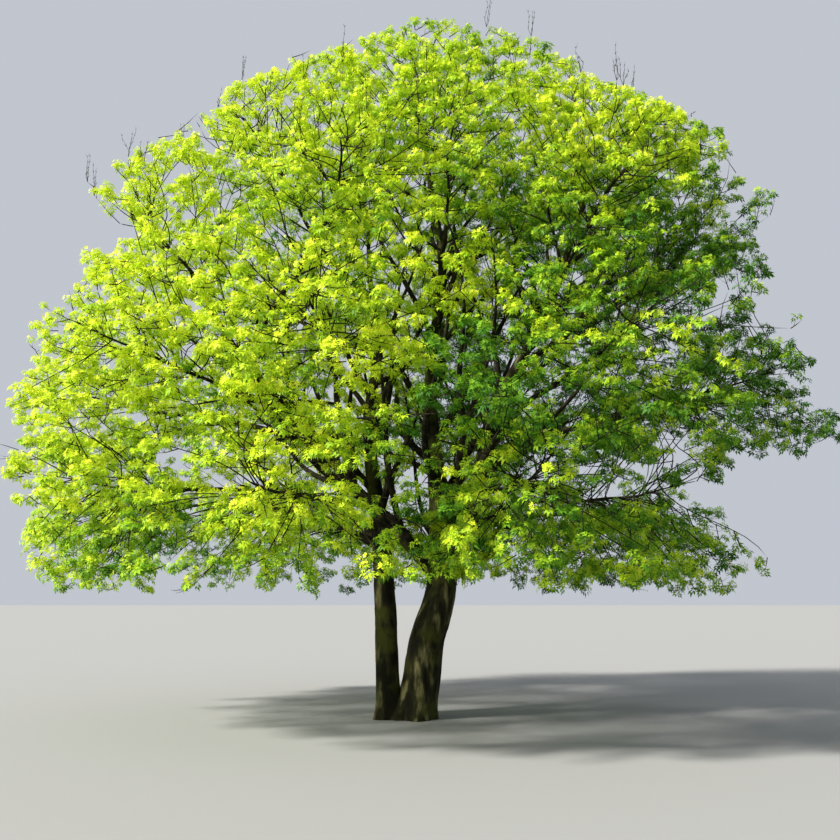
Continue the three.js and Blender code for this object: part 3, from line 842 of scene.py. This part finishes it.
def tuft_leaves(random):
    """The leaves of one tuft: opposite pairs on petioles, the lower pair larger and more bent, and one
    tone darker as painted shade.
    """
    soup = Soup()
    blade = np.array(LEAF, float)
    for number, (size, stalk, lift, droop) in enumerate(LEAVES.pairs):
        for side in (0, 1):
            azimuth = pi * side + number * pi / 2 + jitter(random, LEAVES.twist)
            scale = size * random.uniform(1 - LEAVES.vary, 1 + LEAVES.vary)
            out = np.array([cos(azimuth), sin(azimuth), 0])
            base = raised(out, lift + jitter(random, LEAVES.rise)) * stalk * random.uniform(*LEAVES.stalks)
            along = raised(out, droop + jitter(random, LEAVES.lean))
            across = turned(np.cross(along, UP), along, jitter(random, LEAVES.roll))
            over = np.cross(across, along)
            points = base + scale * (blade @ np.stack([across, along, over]))
            # the lowest pair gets a tone one step darker: painted shade under the tuft
            soup.add(points, np.array(LEAF_FACES), LEAVES.darker[number])
    return soup.arrays()


def tuft_blossom(random):
    """The flat-topped cluster of five-petalled florets over a tuft's leaves."""
    soup = Soup()
    for number in range(CORYMB.florets):
        azimuth = number * CORYMB.turn + jitter(random, CORYMB.twist)
        away = CORYMB.spread * sqrt((number + CORYMB.start) / CORYMB.florets)
        height = CORYMB.height - away * CORYMB.dome + jitter(random, CORYMB.uneven)
        centre = np.array([away * cos(azimuth), away * sin(azimuth), height])
        outward = unit(centre * CORYMB.outward + jitter(random, CORYMB.tilt, 3))
        right = unit(np.cross(outward, FLORET.aside))
        over = np.cross(outward, right)
        size = FLORET.size * random.uniform(*FLORET.sizes)
        petals, faces = [centre], []
        for petal in range(FLORET.petals):
            middle = TURN * petal / FLORET.petals
            for edge in (-FLORET.gap, FLORET.gap):
                spoke = right * cos(middle + edge) + over * sin(middle + edge)
                petals.append(centre + size * (spoke + outward * FLORET.cup))
            faces.append((0, 2 * petal + 1, 2 * petal + 2))
        soup.add(np.array(petals), np.array(faces))
    return soup.arrays()


def make_templates():
    random = np.random.RandomState(SEEDS.tufts)
    return [(tuft_leaves(random), tuft_blossom(random)) for _ in range(TUFT.kinds)]


def frames_for(ahead, spin):
    """Rotations that stand tufts along their shoots, pulled part way upright."""
    axis = unit(ahead + UP * TUFT.upright)
    right, over = square_to(axis, TUFT_ASIDE)
    x = right * np.cos(spin)[:, None] + over * np.sin(spin)[:, None]
    return np.stack([x, np.cross(axis, x), axis], axis=2)


def stand_tufts(points, faces, frames, places, sizes):
    stood = np.einsum("nij,kj->nki", frames, points) * sizes[:, None, None] + places[:, None, :]
    return stood, faces[None] + np.arange(len(places))[:, None, None] * len(points)


# Where sky shows through the crown, seen as in OUTLINE: x, height, half sizes, share of sprays left
OPENINGS = [(3380, 3380, 430, 430, 0.16), (2650, 2930, 800, 430, 0.15), (3550, 2730, 460, 380, 0.1),
            (4260, 5340, 560, 400, 0.3), (3650, 5270, 440, 320, 0.5), (-4250, 6300, 520, 380, 0.0),
            (-2350, 2930, 500, 270, 0.12), (-1910, 3520, 340, 240, 0.5), (1440, 4790, 400, 340, 0.5),
            (3090, 4520, 400, 340, 0.5), (-1710, 6320, 460, 340, 0.5), (-1960, 5550, 320, 240, 0.5),
            (-2600, 2600, 340, 180, 0.6), (-5400, 3560, 330, 250, 0.1), (60, 2680, 560, 600, 0.15),
            (-500, 2750, 280, 800, 0.25), (350, 3250, 420, 500, 0.35)]
OPENING_EDGE = Values(start=0.7, over=0.5)
# How sparse the crown is inside: over which part of the way out, from where and on what half sizes
INSIDE = Values(start=0.35, end=0.82, share=0.42, centre=(0, 0, 3000), size=(5200, 5000, 6300),
                larger=1.2)
# Sprays keep to cells of their own. The cells are closer at the upper right, where the photograph's
# crown is full to its edge. A cell's key is made of its numbers, counted from a far corner.
CELL = Values(size=378, closer=300, right_of=2900, above=5700, corner=200, most=1000, chances=4093)
CHANCES = np.random.RandomState(SEEDS.cells).uniform(0, 1, CELL.chances)
SHOOTS_LEFT = 3  # one in so many of the shoots on the bark grows

# Which tone a spray has: painted light and shade, lighter on the crown's sunlit side and darker on its
# shaded side, with a random spread of the leaves' own. lit and shaded are how fast the painted light
# and shade change with the side, from the first of the heights to the second.
LIGHT = unit(np.array([-0.72, -0.35, 0.6]))
# The side of the crown that painted light makes lighter; painted shade darkens the side away from it
SUNNY = unit(np.array([-0.8, -0.35, 0.42]))
CROWN = Values(centre=np.array([0.0, 0.0, 4700.0]), reach=5000)
TONE = Values(count=5, middle=0.5, heights=(2200, 4300), lit=(0.35, 0.7), shaded=(0.06, 0.5),
              spread=0.115)
# Broad patches of painted light (below 0) and painted shade (above 0), lighter or darker than their side
# of the crown is,
# seen as in OUTLINE: x, height, half sizes, shift of the tone
PATCHES = [(3000, 8000, 1700, 1000, -0.34), (1600, 7700, 1200, 1300, 0.04),
           (-1650, 3000, 900, 900, -0.22), (-540, 4350, 700, 600, -0.36), (650, 4250, 900, 800, 0.18),
           (1650, 3900, 900, 900, 0.07), (-1750, 6700, 800, 600, 0.16), (600, 5500, 700, 600, -0.25),
           (4300, 6600, 900, 500, -0.2), (550, 3250, 700, 500, -0.14), (-3700, 2200, 900, 600, 0.13),
           (-2900, 6700, 800, 700, 0.1), (4900, 4350, 700, 600, -0.12)]
PATCH_END = 1.5


def on_ellipses(points, ellipses):
    """For each ellipse, how far out on it the points are, 1 at its edge, and its last number."""
    x, height = seen(points)
    for across, up, half_width, half_height, amount in ellipses:
        yield np.hypot((x - across) / half_width, (height - up) / half_height), amount


def tones_of(places, random):
    # Painted light and shade: sprays toward SUNNY get lighter tones and those away from it darker ones,
    # less so low in the crown; then a random spread of the leaves' own, and the painted patches
    lit = (places - CROWN.centre) @ SUNNY / CROWN.reach
    high = np.interp(places[:, 2], TONE.heights, (0, 1))
    value = TONE.middle - np.where(lit > 0, from_to(TONE.lit, high), from_to(TONE.shaded, high)) * lit
    value += random.normal(0, TONE.spread, len(places))
    # the patches of painted light and painted shade
    for away, shift in on_ellipses(places, PATCHES):
        value += shift * smoothstep(PATCH_END - away)
    return np.clip((value * TONE.count).astype(int), 0, TONE.count - 1)


def shallowness(points):
    """0 deep inside the crown and 1 in its outer part."""
    out = np.linalg.norm((points - INSIDE.centre) / INSIDE.size, axis=1)
    return smoothstep((out - INSIDE.start) / (INSIDE.end - INSIDE.start))


def leafiness(points):
    """The share of sprays that grow: fewer where the photograph shows sky through the crown."""
    share = INSIDE.share + (1 - INSIDE.share) * shallowness(points)
    for away, left in on_ellipses(points, OPENINGS):
        edge = smoothstep((away - OPENING_EDGE.start) / OPENING_EDGE.over)
        share = np.minimum(share, left + (1 - left) * edge)
    return share


def first_in_cell(points, share, taken):
    """Keeps one spray in its share of the crown's cells, so that they stand evenly."""
    closer = (points[:, 0] > CELL.right_of) & (points[:, 2] > CELL.above)
    size = np.where(closer, CELL.closer, CELL.size)[:, None]
    cells = np.floor(points / size).astype(np.int64) + CELL.corner
    keys = (cells[:, 0] * CELL.most + cells[:, 1]) * CELL.most + cells[:, 2]
    first = np.zeros(len(points), bool)
    for i in np.flatnonzero(CHANCES[keys % CELL.chances] < share):
        if keys[i] not in taken:
            taken.add(keys[i])
            first[i] = True
    return first


def leafy(sprays, mass, taken):
    """The sprays that grow."""
    middles = sprays.every(SPRAY.middle)
    if mass.carrier:
        return sprays.chosen(first_in_cell(middles, leafiness(middles), taken))
    return sprays.chosen(np.arange(len(middles)) % SHOOTS_LEFT == 0)


def grow_orders(mass, stem, space, seed, random):
    """Twigs that bear sprays, with their kind and their sprays."""
    first = grow_first(mass, stem, space, stream(seed), random)
    orders = [(first, FIRST, grow_second(mass, first, random))]
    bearers = []
    if mass.carrier:
        rise = SIDE_RISE.get(mass.tier.name, INNER_RISE)
        on_bough = kind_of(mass.carrier) == "bough"
        bearers.append((mass.carrier, SIDE, rise) if on_bough else (mass.carrier, INNER, INNER_RISE))
        bearers.append((stem, OUTER, rise))
    if mass.tier.name == "skirt":
        bearers.append((stem, HANGING, HANGING_RISE))
    for limb, kind, rise in bearers:
        boughs = grow_inner(limb, kind, rise, random)
        orders.append((boughs, kind, grow_second(mass, boughs, random)))
    return orders


def tufted(third, tones, templates, random):
    """The leaves and the blossom that stand on the tips of shoots."""
    count = len(third.roots)
    tips = third.every(1.0)
    ahead = third.ahead(np.arange(count), np.ones(count))
    frames = frames_for(ahead, random.uniform(0, TURN, count))
    sizes = random.uniform(*TUFT.size, count) * from_to((INSIDE.larger, 1), shallowness(tips))
    kinds = random.randint(0, TUFT.kinds, count)
    bearing = random.uniform(0, 1, count)
    leaves, blossom = Soup(), Soup()
    for number, (leaf, bloom) in enumerate(templates):
        for soup, template, share in ((leaves, leaf, 1.0), (blossom, bloom, TUFT.in_blossom)):
            points, faces, darker = template
            some = (kinds == number) & (bearing < share)
            # each tuft takes its spray's tone of painted light and shade; its lowest leaves are one
            # painted-shade step darker
            shades = np.minimum(tones[some][:, None] + darker[None, :], TONE.count - 1)
            soup.add(*stand_tufts(points, faces, frames[some], tips[some], sizes[some]), shades.ravel())
    return leaves, blossom


def dress_mass(mass, masses, seed, templates, taken):
    """A mass as three heaps of triangles: its twigs, its leaves and its blossom."""
    random = np.random.RandomState(seed)
    space = Space(mass, masses)
    stem = stem_of(mass, space, seed)
    orders = grow_orders(mass, stem, space, seed, random)
    wood = Soup()
    t = np.linspace(0, 1, STEM.rings)
    wood.add(*sweep_many(stem.point(t)[None], stem.radius(t)[None], STEM.sides))
    second = grow_along(mass.carrier, random) if mass.carrier else orders[0][2].chosen([])
    second = leafy(second, mass, taken)
    for bearer, kind, sprays in orders:
        sprays = leafy(sprays, mass, taken)
        ends = np.zeros(len(bearer.roots))
        np.maximum.at(ends, sprays.bearers, sprays.places)
        wood.add_twigs(bearer.chosen(ends > 0), kind, ends[ends > 0])
        second = second.joined(sprays)
    third = grow_third(mass, second, random)
    shoots = grow_bare(second, random)
    buds = grow_buds(shoots, random)
    tones = tones_of(second.every(SPRAY.middle), random)
    third = third.chosen(in_crown(third.every(1.0)))
    for growth, kind in ((second, SECOND), (shoots, BARE), (buds, THIRD), (third, THIRD)):
        wood.add_twigs(growth, kind)
    return wood, *tufted(third, tones[third.bearers], templates, random)


# Materials
BARK = Values(shine=0.15, stops=(0.41, 0.54, 0.68), moss=(0.56, 0.7), rough=(0.78, 0.98), relief=0.74)
MOTTLE = (9, 8)  # the scale and the detail of a noise, here and below
MOSS = (3.2, 5)
FISSURES = (46, 6)
VEINS = (150, 3)
PETAL = Values(shine=0.2, rough=(0.42, 0.72), relief=0.35, depth=0.002, through=0.24)
MIX = Values(a=6, b=7, result=2)  # the colour sockets of a mix node
# Leaf and blossom colours from light to dark: lit and shaded copies of each green, among which the sprays'
# painted light and shade is dealt
LEAF_TONES = [(0.57, 0.71, 0.022), (0.46, 0.63, 0.018), (0.27, 0.45, 0.014), (0.105, 0.26, 0.010),
              (0.044, 0.155, 0.007)]
BLOOM_TONES = [(0.78, 0.85, 0.040), (0.67, 0.78, 0.030), (0.43, 0.59, 0.020), (0.20, 0.39, 0.013),
               (0.09, 0.24, 0.010)]
OLD_TONES = [(0.007, 0.007, 0.002), (0.024, 0.023, 0.007), (0.17, 0.155, 0.065)]
YOUNG_TONES = [(0.007, 0.006, 0.003), (0.02, 0.017, 0.008), (0.05, 0.042, 0.02)]


class Look:
    """A material and its nodes. Where a node's input is given an output, the two are linked."""

    def __init__(self, name):
        self.material = bpy.data.materials.new(name)
        self.material.use_nodes = True
        self.tree = self.material.node_tree
        self.tree.nodes.clear()
        self.output = self.node("OutputMaterial")
        self.shader = self.node("BsdfPrincipled")
        self.feed(self.output, {"Surface": self.shader.outputs[0]})

    def node(self, kind, **inputs):
        node = self.tree.nodes.new("ShaderNode" + kind)
        self.feed(node, inputs)
        return node

    def feed(self, node, inputs):
        for name, value in inputs.items():
            if isinstance(value, bpy.types.NodeSocket):
                self.tree.links.new(value, node.inputs[name])
            else:
                node.inputs[name].default_value = value

    def noise(self, scale, detail, stretch=(1, 1, 1)):
        coordinates = self.node("TexCoord")
        mapping = self.node("Mapping", Vector=coordinates.outputs["Object"], Scale=stretch)
        noise = self.node("TexNoise", Vector=mapping.outputs[0], Scale=scale, Detail=detail)
        return noise.outputs["Fac"]

    def ramp(self, source, stops):
        ramp = self.node("ValToRGB", Fac=source)
        elements = ramp.color_ramp.elements
        while len(elements) < len(stops):
            elements.new(0.5)
        for element, (at, colour) in zip(elements, stops):
            element.position = at
            element.color = (*colour, 1)
        return ramp.outputs["Color"]

    def spread(self, source, ends):
        spread = self.node("MapRange", Value=source)
        self.feed(spread, {"To Min": ends[0], "To Max": ends[1]})
        return spread.outputs[0]

    def bump(self, source, strength, distance):
        return self.node("Bump", Height=source, Strength=strength, Distance=distance).outputs[0]


def bark_material(name, tones, moss, moss_share, stretch, depth):
    look = Look(name)
    mottle = look.noise(*MOTTLE, stretch)
    wood = look.ramp(mottle, list(zip(BARK.stops, tones)))
    bare, mossy = (stop - moss_share for stop in BARK.moss)
    mask = look.ramp(look.noise(*MOSS), [(bare, (0, 0, 0)), (mossy, (1, 1, 1))])
    mix = look.node("Mix")
    mix.data_type = "RGBA"
    look.feed(mix, {"Factor": mask, MIX.a: wood, MIX.b: (*moss, 1)})
    look.feed(look.shader, {
        "Base Color": mix.outputs[MIX.result], "Specular IOR Level": BARK.shine,
        "Roughness": look.spread(mottle, BARK.rough),
        "Normal": look.bump(look.noise(*FISSURES, stretch), BARK.relief, depth)})
    return look.material


def petal_material(name, colour, glow):
    """Leaf or petal: a plain colour, veined by bump, with some light let through. glow says how
    much lighter that light is than the colour."""
    look = Look(name)
    veins = look.noise(*VEINS)
    look.feed(look.shader, {
        "Base Color": (*colour, 1), "Specular IOR Level": PETAL.shine,
        "Roughness": look.spread(veins, PETAL.rough),
        "Normal": look.bump(veins, PETAL.relief, PETAL.depth)})
    lighter = tuple(min(1.0, part * glow) for part in colour)
    thin = look.node("BsdfTranslucent", Color=(*lighter, 1))
    blend = look.node("MixShader", Fac=PETAL.through)
    look.feed(blend, {1: look.shader.outputs[0], 2: thin.outputs[0]})
    look.feed(look.output, {"Surface": blend.outputs[0]})
    return look.material


old_bark = bark_material("old_bark", OLD_TONES, moss=(0.045, 0.05, 0.007), moss_share=0.05,
                         stretch=(1, 1, 0.28), depth=0.012)
young_bark = bark_material("young_bark", YOUNG_TONES, moss=(0.028, 0.033, 0.009), moss_share=-0.03,
                           stretch=(1, 1, 1), depth=0.005)
# one material for each step of painted light and shade
leaf_greens = [petal_material(f"leaf_{i}", tone, glow=1.3) for i, tone in enumerate(LEAF_TONES)]
bloom_greens = [petal_material(f"bloom_{i}", tone, glow=1.2) for i, tone in enumerate(BLOOM_TONES)]

# The tree
PIECE_LIMIT = 190000
KINDS = [("twigs", [young_bark], True, "young_bark"), ("leaves", leaf_greens, False, "leaves"),
         ("blossom", bloom_greens, False, "leaves")]


def grow_limbs():
    """The foliage masses, and the limbs that carry them."""
    masses = place_masses()
    trunk = make_trunk()
    carriers = [trunk] + make_leads(trunk, masses)
    loose = [mass for mass in masses if mass.carrier is None]
    boughs = [make_bough(mass, SEEDS.boughs + i, carriers) for i, mass in enumerate(loose)]
    for mass in masses:
        mass.onward = mass.carrier.onward
        mass.root = mass.carrier.point(1.0) - mass.onward * STEM.sunk
        mass.girth = mass.carrier.radius(1.0) * STEM.girth
    return masses + [make_shoots(trunk)], carriers + boughs


def dress_limbs(limbs):
    for number, limb in enumerate(limbs):
        kind = kind_of(limb)
        soup = limb_mesh(limb, *DETAIL[kind], SEEDS.bark + number)
        piece = make_piece(f"bark_{limb.name}", soup, [young_bark if kind == "bough" else old_bark], True)
        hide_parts(limb.name)


def batches_of(masses, heaps):
    """Masses that share a piece, with their heaps, in pieces below the limit."""
    batches = [[]]
    filled = 0
    for mass, heap in zip(masses, heaps):
        if filled + heap.size() > PIECE_LIMIT:
            batches.append([])
            filled = 0
        batches[-1].append((mass, heap))
        filled += heap.size()
    return batches


def dress_masses(masses):
    templates = make_templates()
    taken = set()
    dressed = [dress_mass(mass, masses, SEEDS.masses + i, templates, taken)
               for i, mass in enumerate(masses)]
    for (kind, materials, smooth, slot), heaps in zip(KINDS, zip(*dressed)):
        for number, batch in enumerate(batches_of(masses, heaps), 1):
            soup = Soup()
            for _, heap in batch:
                soup.add(*heap.arrays())
            piece = make_piece(f"{kind}_{number}", soup, materials, smooth)
            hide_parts(*[f"foliage_{mass.name}" for mass, _ in batch])


masses, limbs = grow_limbs()
dress_limbs(limbs)
dress_masses(masses)

# Floor, light and camera
FLOOR = Values(half=90, colour=(0.27, 0.27, 0.265, 1), roughness=0.9)
SKY = Values(colour=(0.86, 0.91, 1.0, 1), strength=0.62)
KEY = Values(energy=8.5, angle=8, colour=(1.0, 0.97, 0.9))
CAMERA = Values(x=50, tilt=9.26, lens=44.36, sensor=36)


def lay_floor():
    mesh = bpy.data.meshes.new("floor")
    corners = [(x * FLOOR.half, y * FLOOR.half, 0) for x, y in ((-1, -1), (1, -1), (1, 1), (-1, 1))]
    mesh.from_pydata(corners, [], [(0, 1, 2, 3)])
    look = Look("floor")
    look.feed(look.shader, {"Base Color": FLOOR.colour, "Roughness": FLOOR.roughness})
    mesh.materials.append(look.material)
    floor = put("floor", mesh)


def light_studio():
    world = bpy.data.worlds.new("studio")
    world.use_nodes = True
    background = world.node_tree.nodes["Background"]
    background.inputs["Color"].default_value = SKY.colour
    background.inputs["Strength"].default_value = SKY.strength
    bpy.context.scene.world = world
    key = bpy.data.lights.new("key", "SUN")
    key.energy = KEY.energy
    key.angle = radians(KEY.angle)
    key.color = KEY.colour
    put("key", key).rotation_euler = Vector(-LIGHT).to_track_quat("-Z", "Y").to_euler()


def stand_camera():
    data = bpy.data.cameras.new("camera")
    data.lens = CAMERA.lens
    data.sensor_width = CAMERA.sensor
    camera = put("camera", data)
    camera.location = (CAMERA.x * MM, -EYE[0] * MM, EYE[1] * MM)
    camera.rotation_euler = (radians(90 + CAMERA.tilt), 0, 0)
    bpy.context.scene.camera = camera


lay_floor()
light_studio()
stand_camera()
bpy.context.scene.view_settings.view_transform = "Standard"
